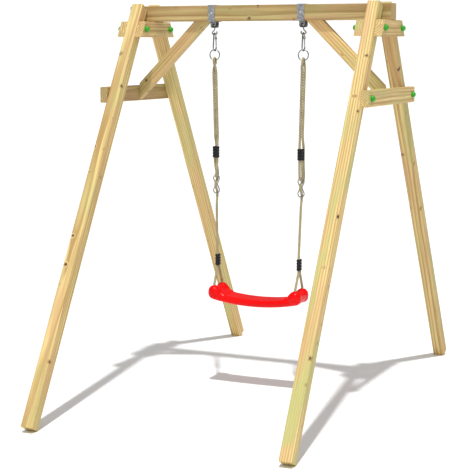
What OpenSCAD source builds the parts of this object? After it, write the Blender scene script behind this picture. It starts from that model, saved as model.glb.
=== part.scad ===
// Timber A-frame swing set with one moulded swing seat on adjustable ropes.
// Millimetres. X runs along the beam, Y from front to back, Z up.
// The origin is on the ground, under the middle of the beam.

/* [Frame] */
// Height of the beam's underside
beam_under = 2145; // [1700:5:2600]
// Width of the beam, front to back
beam_w = 90; // [70:1:120]
// Height of the beam
beam_h = 90; // [70:1:120]
// Distance between the two A-frames, leg centre to leg centre
leg_spacing = 1450; // [1100:5:2200]
// Side of the square legs
leg_w = 70; // [50:1:90]
// Lean of each leg from the vertical
leg_lean = 29.5; // [20:0.5:34]
// Height above the beam's underside where a leg's inner face meets the beam
leg_meet = 72; // [40:1:80]
// Height of a leg's outer top corner above the beam
leg_rise = 13; // [0:1:40]
// Radius of the timbers' long edges
edge_r = 6; // [2:0.5:10]

/* [Ties and braces] */
// Thickness of the ties and braces
board_t = 45; // [30:1:60]
// Height of the ties
tie_h = 90; // [70:1:120]
// Distance from a top tie's end back to the leg's outer face
tie_setback = 10; // [2:1:20]
// Drop from the beam's underside to the middle of a low tie
low_tie_drop = 420; // [300:5:600]
// Overhang of a low tie past the legs' outer faces
low_tie_over = 9; // [0:1:40]
// Width of the braces
brace_w = 70; // [50:1:90]
// Height of a brace's lower corner above the low tie's bottom edge
brace_step = 7; // [0:1:20]
// Gap between a brace's top end and the hanger strap
brace_gap = 3; // [1:1:30]

/* [Fasteners] */
// Diameter of the frame bolts and coach screws
bolt_d = 10; // [8:0.5:12]
// Width across the flats of their heads and nuts
hex_w = 17; // [13:1:19]
// Diameter of a bolt cap's base ring
cap_base_d = 36; // [34:1:44]
// Diameter of a bolt cap's dome
cap_dome_d = 33; // [27:0.5:34]
// Height of a bolt cap's dome
cap_dome_h = 18; // [15:0.5:22]
// Length of the coach screws in the low ties
coach_len = 100; // [90:1:110]
// Diameter of the brace screws
brace_screw_d = 6; // [4:0.5:8]
// Length of the brace screws
brace_screw_len = 75; // [65:1:78]

/* [Hangers] */
// Distance between the two hangers
hanger_spacing = 552; // [450:1:800]
// Width of the hanger straps
strap_w = 42; // [38:1:60]
// Thickness of the strap and saddle plate
plate_t = 3; // [2:0.5:5]
// Width of the saddle's cheeks
cheek_w = 34; // [30:1:38]
// Drop from the beam's underside to the pivot
pivot_drop = 22; // [20:0.5:26]
// Diameter of the pivot pin
pivot_d = 10; // [8:0.5:11]
// Width of the bearing block
block_w = 40; // [38:1:46]
// Depth of the bearing block, front to back
block_d = 30; // [26:1:36]
// Width of the swing hook's eye
eye_w = 10; // [8:0.5:11]

/* [Hook, snap hook and ring] */
// Wire diameter of the swing hook
hook_wire = 8; // [6:0.5:9]
// Drop from the pivot to the middle of the hook's bottom wire
hook_drop = 54; // [50:1:70]
// Wire diameter of the snap hook
snap_wire = 8; // [6:0.5:9]
// Overall length of the snap hook
snap_len = 112; // [105:1:130]
// Wire diameter of the ring
ring_wire = 7; // [5:0.5:8]
// Outer diameter of the ring
ring_d = 68; // [60:1:80]

/* [Rope fittings and seat] */
// Diameter of the rope
rope_d = 16; // [10:0.5:16]
// Wire diameter of the rope adjuster
adjuster_wire = 7; // [5:0.5:7]
// Length of the rope adjuster
adjuster_len = 116; // [116:1:130]
// Width of the rope adjuster
adjuster_w = 45; // [42:1:56]
// Length of the rope sleeves
sleeve_len = 66; // [50:1:80]
// Distance between the seat's rope holes along the beam
seat_span = 510; // [420:1:600]
// Distance between the seat's rope holes, front to back
seat_hole_y = 112; // [100:1:130]
// Height of the seat's top at its rope holes
seat_top = 608; // [600:1:620]
// Radius of the seat's end lobes
lobe_r = 36; // [32:0.5:40]
// Thickness of the seat board
seat_t = 43; // [34:1:46]
// Bend radius of the seat board's underside
seat_bend = 1260; // [900:10:2000]

/* [Hidden] */

// Clearances: a running fit, a tight hole, links that hang in each other
run_gap = 0.05;
fit_gap = 0.05;
link_gap = 0.3;
eps = 1;

// Where the legs stand and how long they are
leg_x = leg_spacing / 2;
foot_y = beam_w / 2 + (beam_under + leg_meet) * tan(leg_lean);
leg_top = beam_under + beam_h + leg_rise;
leg_len = (leg_top - leg_w * sin(leg_lean)) / cos(leg_lean);
leg_half = leg_w / 2 / cos(leg_lean);
function leg_y(z) = beam_w / 2 + (beam_under + leg_meet - z) * tan(leg_lean) + leg_half;

// Frame timbers
beam_half = leg_x + leg_w / 2 + board_t;
tie_face = leg_x + leg_w / 2;
top_tie_z = beam_under - tie_h / 2;
low_tie_z = beam_under - low_tie_drop;
low_tie_half = leg_y(low_tie_z) + leg_half + low_tie_over;
brace_in = hanger_spacing / 2 + strap_w / 2 + brace_gap;
brace_foot_z = low_tie_z - tie_h / 2 + brace_step;
brace_angle = atan2(beam_under - brace_foot_z, tie_face - brace_in);

// Fastener details
head_h = 6.5;
nut_h = 8;
base_h = 4;
bolt_end = 3;
cap_wall = 1.8;
brace_head_d = 12;
brace_head_h = 4;
brace_head_in = 35;

// Hanger details, all below the beam's underside
hanger_x = hanger_spacing / 2;
pivot_z = beam_under - pivot_drop;
block_h = 35;
slot_w = eye_w + 1;
eye_d = 2 * pivot_d;
rivet_d = 5;
rivet_x = 12;
rivet_drop = 8.5;
strap_screw_d = 6;
strap_screw_len = 38;
pin_head_d = 15;
pin_head_t = 2.5;

// Heights down the hanging chain
hook_low = pivot_z - hook_drop;
snap_top = hook_low + hook_wire / 2 + link_gap + snap_wire;
snap_low = snap_top - snap_len + snap_wire / 2;
ring_r = (ring_d - ring_wire) / 2;
ring_z = snap_low + snap_wire / 2 + link_gap + ring_wire / 2 - ring_r;

// Rope fittings: the adjuster's top wire, the sleeves' lower ends
adjuster_x = 266;
adjuster_top = 1255;
upper_sleeve_z = 1354;
upper_sleeve_y = -6;
lower_sleeve_x = 257;
lower_sleeve_z = 719;
strand_gap = 16.6;

// Seat: the board's lowest line and half its depth, its curve, the lobes and the rope channel
seat_x = seat_span / 2;
seat_low = 497;
board_half_y = 84;
function seat_rise(x) = seat_bend - sqrt(pow(seat_bend, 2) - pow(x, 2));
lobe_low = seat_low + seat_rise(seat_x) + lobe_r;
channel_z = lobe_low - lobe_r + 17;

// The right rope's route, from its folded end in the upper sleeve to its end in the lower one.
// Each group of points is measured from the fitting that it runs through
RING = [hanger_x, 0, ring_z - ring_r];
TUBE = [adjuster_x, upper_sleeve_y, upper_sleeve_z];
EIGHT = [adjuster_x, 0, adjuster_top];
LOW_TUBE = [lower_sleeve_x, 0, lower_sleeve_z];
MOUTH = [seat_x, -seat_hole_y / 2, seat_top];
CHANNEL = [seat_x, -seat_hole_y / 2, channel_z];
function from(origin, points) = [for (p = points) origin + p];
function to_rear(points) = [for (i = [len(points) - 1:-1:0])
    [points[i][0], -points[i][1], points[i][2]]];
front_strand = concat(
    from(LOW_TUBE, [[0, -8.3, -2], [-0.2, -11, -15]]),
    from(MOUTH, [[0.4, 8.5, 20], [0.1, 3.4, 10], [0, 0.5, 1], [0, 0, -10]]),
    from(CHANNEL, [[0, 0, 6], [0, 1.2, 0], [0, 2.2, -4.4], [0, 5.1, -7.4], [0, 9.5, -8.5]]));
ROPE = concat(
    from(TUBE, [[8.3, 0, 58], [8.3, 0, 2]]),
    from(EIGHT, [
        [8, -4, 75], [6, 6, 32], [4.5, 12.4, 11], [4, 12.4, -3.5], [3, 10.9, -9.8],
        [2, 6.3, -14.4], [0.5, 0, -16.1], [-1, -6.3, -14.4], [-2.5, -10.9, -9.8],
        [-3.5, -12.4, -3.5], [-4.5, -12.4, 10], [-6, -10, 35], [-8, -7, 70]]),
    from(TUBE, [[-8.3, 0, 2], [-8.3, 0, 64], [-8.3, 6, 130]]),
    from(RING, [
        [-8.3, 0, -66], [-6.5, -8, -36], [0, -12.2, -13], [0, -12.2, 0], [0, -10.6, 6.1],
        [0, -6.1, 10.6], [0, 0, 12.2], [0, 6.1, 10.6], [0, 10.6, 6.1], [0, 12.2, 0],
        [0, 12.2, -13], [6.5, 8, -36], [8.3, 0, -66]]),
    from(TUBE, [[8.3, 6, 130], [8, 22.5, 74], [8, 22.5, -4]]),
    from(EIGHT, [
        [7, 19, 62], [5.5, 29, 15], [5, 29.4, -3.5], [4, 27.6, -13.6], [3, 22.5, -22.4],
        [1.5, 14.7, -29], [0.5, 5, -34], [0, -1.5, -39], [0, -7.5, -45], [0.3, -11.5, -51],
        [0.5, -12.3, -58], [0.5, -11.3, -65], [1, -5, -76], [1, 5, -90], [0.7, 11.2, -101],
        [0.3, 12.3, -112], [0, 11.4, -124], [-0.5, 7, -142], [-1, 2, -168], [-1.5, 0, -198]]),
    from(LOW_TUBE, [[0, -8.3, 76]]), front_strand, to_rear(front_strand),
    from(LOW_TUBE, [[0, 8.3, 61]]));

// Points of a rounded rectangle, centred, for a timber's section
function corner(x, y, r, from) =
    [for (a = [0:22.5:90]) [x + r * cos(from + a), y + r * sin(from + a)]];
function rounded(w, t, r) = concat(
    corner(w / 2 - r, t / 2 - r, r, 0), corner(r - w / 2, t / 2 - r, r, 90),
    corner(r - w / 2, r - t / 2, r, 180), corner(w / 2 - r, r - t / 2, r, 270));

// A round bar swept along points. ref is a direction that the path never takes
function unit(v) = v / norm(v);
function tangent(p, i, closed) = let (n = len(p))
    closed ? unit(p[(i + 1) % n] - p[(i + n - 1) % n])
    : unit(unit(p[min(i + 1, n - 1)] - p[i] + (i == n - 1 ? p[i] - p[i - 1] : [0, 0, 0]))
         + unit(p[i] - p[max(i - 1, 0)] + (i == 0 ? p[1] - p[0] : [0, 0, 0])));
function hoop(c, t, ref, r, sides) = let (u = unit(cross(t, ref)), v = cross(t, u))
    [for (k = [0:sides - 1]) c + r * (cos(360 * k / sides) * u + sin(360 * k / sides) * v)];

module sweep(path, d, ref, sides = 10, closed = false) {
    n = len(path);
    points = [for (i = [0:n - 1]) each hoop(path[i], tangent(path, i, closed), ref, d / 2, sides)];
    skin(points, n, sides, closed);
}

// Joins hoops of equally many points into one closed solid
module skin(points, hoops, sides, closed = false) {
    walls = [for (i = [0:(closed ? hoops : hoops - 1) - 1]) for (k = [0:sides - 1])
        [i * sides + k, ((i + 1) % hoops) * sides + k,
         ((i + 1) % hoops) * sides + (k + 1) % sides, i * sides + (k + 1) % sides]];
    start = [for (k = [0:sides - 1]) k];
    stop = [for (k = [sides - 1:-1:0]) (hoops - 1) * sides + k];
    polyhedron(points, closed ? walls : concat(walls, [start, stop]), convexity = 10);
}

// Copies its children to the left side as a mirror image, or leaves them on the right
module on_side(side) {
    mirror([side < 0 ? 1 : 0, 0, 0]) children();
}

// ---- Timbers ----

// A planed timber with rounded long edges, standing on the XY plane
module timber(length, w, t) {
    linear_extrude(length) polygon(rounded(w, t, edge_r));
}

// A timber that lies along Y, centred on the origin
module cross_timber(length, w, h) {
    rotate([90, 0, 0]) translate([0, 0, -length / 2]) timber(length, w, h);
}

// A hole or a bar along X, from x to x + length
module bar_x(x, y, z, d, length) {
    translate([x, y, z]) rotate([0, 90, 0]) cylinder(d = d, h = length, $fn = 48);
}

// The right front leg: square ends, a seat cut for the beam, holes for bolt and coach screw
module leg() {
    color("burlywood") difference() {
        translate([leg_x, -foot_y - leg_w / 2 * cos(leg_lean), leg_w / 2 * sin(leg_lean)])
            rotate([-leg_lean, 0, 0]) timber(leg_len, leg_w, leg_w);
        translate([leg_x - leg_w, -beam_w / 2, beam_under - leg_w])
            cube([2 * leg_w, beam_w, beam_h + 2 * leg_w]);
        bar_x(leg_x - leg_w, -leg_y(top_tie_z), top_tie_z, bolt_d + 2 * fit_gap, 2 * leg_w);
        bar_x(tie_face + board_t - coach_len + base_h - eps, -leg_y(low_tie_z), low_tie_z,
              bolt_d + 2 * fit_gap, coach_len);
    }
}

module place_leg(side, back) {
    on_side(side) mirror([0, back > 0 ? 1 : 0, 0]) leg();
}

module swing_beam() {
    color("burlywood") difference() {
        translate([-beam_half, 0, beam_under + beam_h / 2]) rotate([0, 90, 0])
            timber(2 * beam_half, beam_h, beam_w);
        for (side = [-1, 1]) on_side(side) {
            for (back = [-1, 1]) strap_screw(back, fit_gap);
            for (y = [-1, 1]) brace_screw_top(y, fit_gap);
        }
    }
}

// A top tie between x and x + board_t, its ends parallel to the legs
module top_tie(x) {
    top_half = leg_y(beam_under) + leg_half - tie_setback;
    low_half = leg_y(beam_under - tie_h) + leg_half - tie_setback;
    color("burlywood") difference() {
        intersection() {
            translate([x + board_t / 2, 0, top_tie_z]) cross_timber(2 * low_half, board_t, tie_h);
            translate([x - eps, 0, 0]) rotate([90, 0, 90]) linear_extrude(board_t + 2 * eps)
                polygon([[-top_half, beam_under], [top_half, beam_under],
                         [low_half, beam_under - tie_h], [-low_half, beam_under - tie_h]]);
        }
        for (y = [-1, 1])
            bar_x(x - eps, y * leg_y(top_tie_z), top_tie_z, bolt_d + 2 * fit_gap,
                  board_t + 2 * eps);
    }
}

module low_tie() {
    color("burlywood") difference() {
        translate([tie_face + board_t / 2, 0, low_tie_z])
            cross_timber(2 * low_tie_half, board_t, tie_h);
        for (y = [-1, 1]) {
            bar_x(tie_face - eps, y * leg_y(low_tie_z), low_tie_z, bolt_d + 2 * fit_gap,
                  board_t + 2 * eps);
            brace_screw_low(y, fit_gap);
        }
    }
}

// The right brace: its top end lies under the beam and its foot stands against the low tie
module brace() {
    run = tie_face - brace_in;
    rise = beam_under - brace_foot_z;
    reach = norm([run, rise]);
    color("burlywood") difference() {
        intersection() {
            translate([tie_face, 0, brace_foot_z]) rotate([0, brace_angle - 90, 0])
                translate([brace_w / 2, 0, -2 * brace_w]) timber(reach + 4 * brace_w, brace_w, board_t);
            translate([brace_in - brace_w, -board_t, brace_foot_z - brace_w])
                cube([run + brace_w, 2 * board_t, rise + brace_w]);
        }
        for (y = [-1, 1]) {
            brace_screw_top(y, fit_gap, 2 * brace_w);
            brace_screw_low(y, fit_gap, 2 * brace_w);
        }
    }
}

// ---- Frame fasteners ----

module hex_head(h) {
    cylinder(d = hex_w / cos(30), h = h, $fn = 6);
}

// One through bolt, its head outside the outer top tie
module frame_bolt(y) {
    length = leg_w + 2 * board_t + 2 * base_h + nut_h + bolt_end;
    translate([tie_face + board_t + base_h, y * leg_y(top_tie_z), top_tie_z]) rotate([0, -90, 0]) {
        cylinder(d = bolt_d, h = length, $fn = 48);
        mirror([0, 0, 1]) hex_head(head_h);
    }
}

module frame_nut(y) {
    translate([tie_face - leg_w - board_t - base_h, y * leg_y(top_tie_z), top_tie_z])
        rotate([0, -90, 0]) difference() {
            hex_head(nut_h);
            translate([0, 0, -eps]) cylinder(d = bolt_d + 2 * fit_gap, h = nut_h + 2 * eps, $fn = 48);
        }
}

module coach_screw(y) {
    tip = 12;
    translate([tie_face + board_t + base_h, y * leg_y(low_tie_z), low_tie_z]) rotate([0, -90, 0]) {
        cylinder(d = bolt_d, h = coach_len - tip, $fn = 48);
        translate([0, 0, coach_len - tip]) cylinder(d1 = bolt_d, d2 = 2, h = tip, $fn = 48);
        mirror([0, 0, 1]) hex_head(head_h);
    }
}

// The cap's base ring is the washer, and its raised rim holds the dome
module cap_base() {
    rotate_extrude($fn = 48) polygon([
        [bolt_d / 2 + fit_gap, 0], [cap_base_d / 2, 0], [cap_base_d / 2, 2],
        [cap_base_d / 2 - 1.5, base_h], [bolt_d / 2 + fit_gap, base_h]]);
}

module cap_dome() {
    r = cap_dome_d / 2;
    outer = [for (a = [0:15:90]) [r * cos(a), 3 + (cap_dome_h - 3) * sin(a)]];
    inner = [for (a = [90:-15:0])
        [(r - cap_wall) * cos(a), 3 + (cap_dome_h - 3 - cap_wall) * sin(a)]];
    rotate_extrude($fn = 48) polygon(concat([[r, 0]], outer, inner, [[r - cap_wall, 0]]));
}

// Puts a cap part on the outer end and, for the through bolts, on the inner end
module at_bolt_ends() {
    for (side = [-1, 1]) on_side(side) for (y = [-1, 1]) {
        translate([tie_face + board_t, y * leg_y(top_tie_z), top_tie_z])
            rotate([0, 90, 0]) children();
        translate([tie_face - leg_w - board_t, y * leg_y(top_tie_z), top_tie_z])
            rotate([0, -90, 0]) children();
        translate([tie_face + board_t, y * leg_y(low_tie_z), low_tie_z])
            rotate([0, 90, 0]) children();
    }
}

// A countersunk wood screw along Z from the centre of its head, with a bore above its head
module wood_screw(d, length, head_d, head_h, gap, bore) {
    translate([0, 0, head_h]) cylinder(d = d + 2 * gap, h = length - head_h, $fn = 32);
    translate([0, 0, -bore]) cylinder(d = head_d + 2 * gap, h = head_h + bore, $fn = 32);
}

module brace_screw_top(y, gap, bore = 0) {
    x = brace_in + brace_w / sin(brace_angle) / 2;
    translate([x, y * board_t / 4, beam_under - brace_head_in])
        wood_screw(brace_screw_d, brace_screw_len, brace_head_d, brace_head_h, gap, bore);
}

module brace_screw_low(y, gap, bore = 0) {
    z = brace_foot_z + brace_w / cos(brace_angle) / 2;
    translate([tie_face - brace_head_in, y * board_t / 4, z]) rotate([0, 90, 0])
        wood_screw(brace_screw_d, brace_screw_len, brace_head_d, brace_head_h, gap, bore);
}

// ---- Hangers ----

// A steel band over the beam, its legs reaching down past the saddle's plate
module hanger_strap() {
    in_y = beam_w / 2;
    out_y = in_y + plate_t;
    top = beam_under + beam_h;
    low = beam_under - plate_t;
    color("silver") difference() {
        translate([hanger_x - strap_w / 2, 0, 0]) rotate([90, 0, 90]) linear_extrude(strap_w)
            polygon(concat(
                [[out_y, low]],
                corner(out_y - plate_t, top, plate_t, 0), corner(plate_t - out_y, top, plate_t, 90),
                [[-out_y, low], [-in_y, low], [-in_y, top], [in_y, top], [in_y, low]]));
        for (back = [-1, 1]) strap_screw(back, fit_gap);
    }
}

// A pan-head screw through the strap into the beam's front or rear face
module strap_screw(back, gap) {
    mirror([0, back > 0 ? 1 : 0, 0])
        translate([hanger_x, -beam_w / 2 - plate_t, beam_under + beam_h / 2]) rotate([-90, 0, 0]) {
            cylinder(d = strap_screw_d + 2 * gap, h = strap_screw_len, $fn = 32);
            if (gap == 0) mirror([0, 0, 1]) cylinder(d1 = 13, d2 = 9, h = 3.5, $fn = 32);
        }
}

// The saddle under the beam: a plate with two slotted cheeks that grip the bearing block
module hanger_saddle() {
    cheek_low = block_h - 4;
    cut = 7;
    color("gray") difference() {
        union() {
            translate([hanger_x - cheek_w / 2, -beam_w / 2, beam_under - plate_t])
                cube([cheek_w, beam_w, plate_t]);
            for (back = [0, 1]) mirror([0, back, 0])
                translate([hanger_x, -block_d / 2, beam_under]) rotate([90, 0, 0])
                    linear_extrude(plate_t) polygon([
                        [-cheek_w / 2, -plate_t], [-cheek_w / 2, cut - cheek_low],
                        [cut - cheek_w / 2, -cheek_low], [cheek_w / 2 - cut, -cheek_low],
                        [cheek_w / 2, cut - cheek_low], [cheek_w / 2, -plate_t]]);
        }
        translate([hanger_x - slot_w / 2 - 1, -block_d, beam_under - cheek_low - eps])
            cube([slot_w + 2, 2 * block_d, cheek_low - 13]);
        for (x = [-1, 1]) rivet_hole(x);
    }
}

module rivet_hole(x) {
    translate([hanger_x + x * rivet_x, block_d, beam_under - rivet_drop]) rotate([90, 0, 0])
        cylinder(d = rivet_d + 2 * fit_gap, h = 2 * block_d, $fn = 32);
}

module saddle_rivet(x) {
    grip = block_d / 2 + plate_t;
    translate([hanger_x + x * rivet_x, grip, beam_under - rivet_drop]) rotate([90, 0, 0]) {
        cylinder(d = rivet_d, h = 2 * grip, $fn = 32);
        mirror([0, 0, 1]) cylinder(d1 = 8, d2 = 5, h = 2, $fn = 32);
        translate([0, 0, 2 * grip]) cylinder(d1 = 8, d2 = 5, h = 2, $fn = 32);
    }
}

// The nylon bearing: a slot from front to back for the hook's eye, and the pin's bore along X
module bearing_block() {
    cut = 8;
    low = plate_t + block_h;
    color("#202020") difference() {
        translate([hanger_x, block_d / 2, beam_under]) rotate([90, 0, 0])
            linear_extrude(block_d) polygon([
                [-block_w / 2, -plate_t], [-block_w / 2, cut - low], [cut - block_w / 2, -low],
                [block_w / 2 - cut, -low], [block_w / 2, cut - low], [block_w / 2, -plate_t]]);
        translate([hanger_x - slot_w / 2, -block_d, beam_under - low - eps])
            cube([slot_w, 2 * block_d, low + eps - pivot_drop + eye_d / 2 + 1]);
        bar_x(hanger_x - block_w, 0, pivot_z, pivot_d + 2 * run_gap, 2 * block_w);
        for (x = [-1, 1]) rivet_hole(x);
    }
}

// A headed pin with a groove-free plain end that carries a push-on clip
module pivot_pin() {
    color("silver") {
        bar_x(hanger_x - block_w / 2 - 5, 0, pivot_z, pivot_d, block_w + 5);
        bar_x(hanger_x + block_w / 2, 0, pivot_z, pin_head_d, pin_head_t);
    }
}

module pin_clip() {
    color("silver") difference() {
        bar_x(hanger_x - block_w / 2 - pin_head_t, 0, pivot_z, pin_head_d, pin_head_t);
        bar_x(hanger_x - block_w, 0, pivot_z, pivot_d + 2 * fit_gap, block_w);
    }
}

// ---- Hook, snap hook and ring ----

// A bent-wire hook: an eye on the pin, a stem, and an open triangle that faces the beam's middle
module swing_hook() {
    h = -hook_drop;
    path = [
        [0, -eye_d / 2 + 1], [0, h + 28.5], [1.8, h + 25], [9.5, h + 17.2], [13.8, h + 13],
        [15.6, h + 10], [15.4, h + 6.5], [13, h + 3.2], [8.5, h + 0.6], [4, h], [-4, h],
        [-8.5, h + 0.6], [-13, h + 3.5], [-15, h + 8], [-14.5, h + 12.5], [-12.5, h + 16]];
    color("dimgray") difference() {
        union() {
            bar_x(hanger_x - eye_w / 2, 0, pivot_z, eye_d, eye_w);
            translate([hanger_x, 0, pivot_z])
                sweep([for (p = path) [p[0], 0, p[1]]], hook_wire, [0, 1, 0]);
        }
        bar_x(hanger_x - block_w, 0, pivot_z, pivot_d + 2 * run_gap, 2 * block_w);
    }
}

// Centre line of the snap hook in the YZ plane: a small bow on top and a wide one below
snap_small = 13;
snap_wide = 20;
snap_up = snap_len - snap_wire - snap_small - snap_wide;
gate_top = 0.72;
gate_low = 0.1;
function bow(y, z, r, from, to, step) =
    [for (a = [from:step:to]) [y + r * cos(a), z + r * sin(a)]];

// A gate's pivot and nose on the open side of the loop
function side_point(share) = [
    snap_wide + (snap_small - snap_wide) * share,
    snap_low + snap_wide + snap_up * share];

module snap_hook() {
    low_z = snap_low + snap_wide;
    top_z = low_z + snap_up;
    hinge = side_point(gate_top);
    nose = side_point(gate_low);
    path = concat(
        [[hinge[0], hinge[1]]],
        bow(0, top_z, snap_small, 0, 180, 20),
        bow(0, low_z, snap_wide, 180, 360, 18),
        [[nose[0], nose[1]]]);
    ear = snap_wire + 3;
    color("silver") difference() {
        union() {
            translate([hanger_x, 0, 0])
                sweep([for (p = path) [0, p[0], p[1]]], snap_wire, [1, 0, 0]);
            bar_x(hanger_x - ear / 2, hinge[0], hinge[1], snap_wire + 3, ear);
        }
        bar_x(hanger_x - snap_wire, hinge[0], hinge[1], 3 + 2 * fit_gap, 2 * snap_wire);
        translate([hanger_x - gate_w / 2 - link_gap, hinge[0] - snap_wire, hinge[1] - 2 * snap_wire])
            cube([gate_w + 2 * link_gap, 2 * snap_wire, 2 * snap_wire + snap_wire]);
    }
}

// The sprung gate: an eye between the hook's ears and a bar that ends on the hook's nose
gate_w = 5;
module snap_gate() {
    hinge = side_point(gate_top);
    nose = side_point(gate_low);
    reach = norm(hinge - nose) - snap_wire / 2 + 1.5;
    tilt = atan2(nose[0] - hinge[0], hinge[1] - nose[1]);
    color("gray") difference() {
        translate([hanger_x, hinge[0], hinge[1]]) rotate([tilt, 0, 0]) {
            translate([-gate_w / 2, 0, 0]) rotate([0, 90, 0])
                cylinder(d = snap_wire, h = gate_w, $fn = 32);
            translate([-gate_w / 2, -snap_wire / 2 + 0.5, -reach])
                cube([gate_w, snap_wire - 1, reach]);
        }
        bar_x(hanger_x - snap_wire, hinge[0], hinge[1], 3 + 2 * run_gap, 2 * snap_wire);
    }
}

module gate_pin() {
    hinge = side_point(gate_top);
    length = snap_wire + 4;
    color("silver") bar_x(hanger_x - length / 2, hinge[0], hinge[1], 3, length);
}

module rope_ring() {
    color("silver") translate([hanger_x, 0, ring_z]) rotate([90, 0, 0])
        rotate_extrude($fn = 96) translate([ring_r, 0]) circle(d = ring_wire, $fn = 24);
}

// ---- Ropes and their fittings ----

module rope() {
    color("darkkhaki") sweep(ROPE, rope_d, [1, 0, 0]);
}

// A flat figure of eight in steel wire, in the XZ plane
module rope_adjuster() {
    r = (adjuster_w - adjuster_wire) / 2;
    half = (adjuster_len - adjuster_wire) / 2;
    waist = adjuster_wire * 0.62;
    mid = adjuster_top - adjuster_wire / 2 - half;
    up = half - r;
    path = concat(
        [[waist, 0], [waist + 4, 7]],
        bow(0, up, r, -20, 200, 20),
        [[-waist - 4, 7], [-waist, 0], [-waist - 4, -7]],
        bow(0, -up, r, 160, 380, 20),
        [[waist + 4, -7]]);
    color("silver") translate([adjuster_x, 0, mid])
        sweep([for (p = path) [p[0], 0, p[1]]], adjuster_wire, [0, 1, 0], closed = true);
}

// A ribbed plastic sleeve with a figure-of-eight bore for two strands, standing on the XY plane
module rope_sleeve() {
    wall = 5;
    rib = 2.5;
    pitch = sleeve_len / 4;
    section = rope_d + 2 * wall;
    color("#1c1c1c") difference() {
        union() {
            sleeve_body(section - 2 * rib, 0, sleeve_len);
            for (k = [0:3]) sleeve_body(section, k * pitch + pitch * 0.2, pitch * 0.6);
        }
        for (x = [-1, 1]) translate([x * strand_gap / 2, 0, -eps])
            cylinder(d = rope_d + 0.4, h = sleeve_len + 2 * eps, $fn = 32);
        translate([-1, -2, -eps]) cube([2, 4, sleeve_len + 2 * eps]);
    }
}

module sleeve_body(d, z, h) {
    translate([0, 0, z]) {
        translate([-strand_gap / 2, -d / 2, 0]) cube([strand_gap, d, h]);
        for (x = [-1, 1]) translate([x * strand_gap / 2, 0, 0]) cylinder(d = d, h = h, $fn = 32);
    }
}

module upper_sleeve() {
    translate([adjuster_x, upper_sleeve_y, upper_sleeve_z]) rope_sleeve();
}

module lower_sleeve() {
    translate([lower_sleeve_x, 0, lower_sleeve_z]) rotate([0, 0, 90]) rope_sleeve();
}

// ---- Seat ----

// The board's section: a thick roll at the front and the back, and a dished top
function roll(from) = [for (a = [from:22.5:from + 180])
    [(from < 0 ? 1 : -1) * (board_half_y - seat_t / 2) + seat_t / 2 * cos(a), seat_t / 2 * (1 + sin(a))]];
seat_section = concat(
    roll(-90), [[40, seat_t - 4], [0, seat_t - 6], [-40, seat_t - 4]], roll(90));

// The curved board between the end lobes
module seat_board() {
    hoops = [for (i = [-8:8]) let (x = seat_x * i / 8) for (p = seat_section)
        [x, p[0], seat_low + seat_rise(x) + p[1]]];
    skin(hoops, 17, len(seat_section));
}

// One end: a lobe round each rope hole, and the lower bridge that joins the two lobes.
// The last hull slopes down to the board
module seat_end() {
    y = seat_hole_y / 2;
    bridge_r = lobe_r - 6;
    for (back = [-1, 1]) hull() {
        translate([seat_x, back * y, lobe_low]) sphere(lobe_r, $fn = 24);
        translate([seat_x, back * y, seat_top - lobe_r]) sphere(lobe_r, $fn = 24);
        translate([seat_x - 12, back * y, seat_top - lobe_r - 8]) sphere(lobe_r - 2, $fn = 24);
    }
    hull() for (back = [-1, 1])
        translate([seat_x + 4, back * y, lobe_low + 7]) sphere(bridge_r, $fn = 24);
    hull() for (back = [-1, 1]) {
        translate([seat_x, back * y, lobe_low]) sphere(lobe_r - 4, $fn = 24);
        translate([seat_x - 1.6 * lobe_r, back * y, lobe_low - lobe_r + seat_t / 2])
            sphere(seat_t / 2 - 2, $fn = 24);
    }
}

// The moulded seat: the board, its ends, four rope holes and a rope channel under each end
module swing_seat() {
    hole_d = rope_d + 3;
    color("red") difference() {
        union() {
            seat_board();
            for (side = [-1, 1]) on_side(side) seat_end();
        }
        for (side = [-1, 1]) on_side(side) {
            for (y = [-1, 1]) translate([seat_x, y * seat_hole_y / 2, seat_low])
                cylinder(d = hole_d, h = seat_top, $fn = 24);
            translate([seat_x - hole_d / 2, -seat_hole_y / 2, seat_low - eps])
                cube([hole_d, seat_hole_y, channel_z - seat_low + eps]);
        }
    }
}

// ---- Nodes ----

for (side = [-1, 1]) {
    tag = side < 0 ? "_left" : "_right";
    place_leg(side, -1);
    place_leg(side, 1);
    on_side(side) top_tie(tie_face);
    on_side(side) top_tie(tie_face - leg_w - board_t);
    on_side(side) low_tie();
    on_side(side) brace();
    on_side(side) hanger_strap();
    color("silver") on_side(side) for (back = [-1, 1]) strap_screw(back, 0);
    on_side(side) hanger_saddle();
    color("silver") on_side(side) for (x = [-1, 1]) saddle_rivet(x);
    on_side(side) bearing_block();
    on_side(side) pivot_pin();
    on_side(side) pin_clip();
    on_side(side) swing_hook();
    on_side(side) snap_hook();
    on_side(side) snap_gate();
    on_side(side) gate_pin();
    on_side(side) rope_ring();
    on_side(side) rope();
    on_side(side) rope_adjuster();
    on_side(side) upper_sleeve();
    on_side(side) lower_sleeve();
}
swing_beam();
color("silver") for (side = [-1, 1]) on_side(side) for (y = [-1, 1]) frame_bolt(y);  // frame_bolts
color("silver") for (side = [-1, 1]) on_side(side) for (y = [-1, 1]) frame_nut(y);  // frame_nuts
color("silver") for (side = [-1, 1]) on_side(side) for (y = [-1, 1]) coach_screw(y);  // coach_screws
color("silver") for (side = [-1, 1]) on_side(side) for (y = [-1, 1]) {  // brace_screws
        brace_screw_top(y, 0);
        brace_screw_low(y, 0);
    }
color("limegreen") at_bolt_ends() cap_base();  // cap_bases
color("limegreen") at_bolt_ends() translate([0, 0, base_h]) cap_dome();  // bolt_caps
swing_seat();
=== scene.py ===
import math

import bmesh
import bpy
import numpy as np
from mathutils import Matrix, Vector


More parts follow.
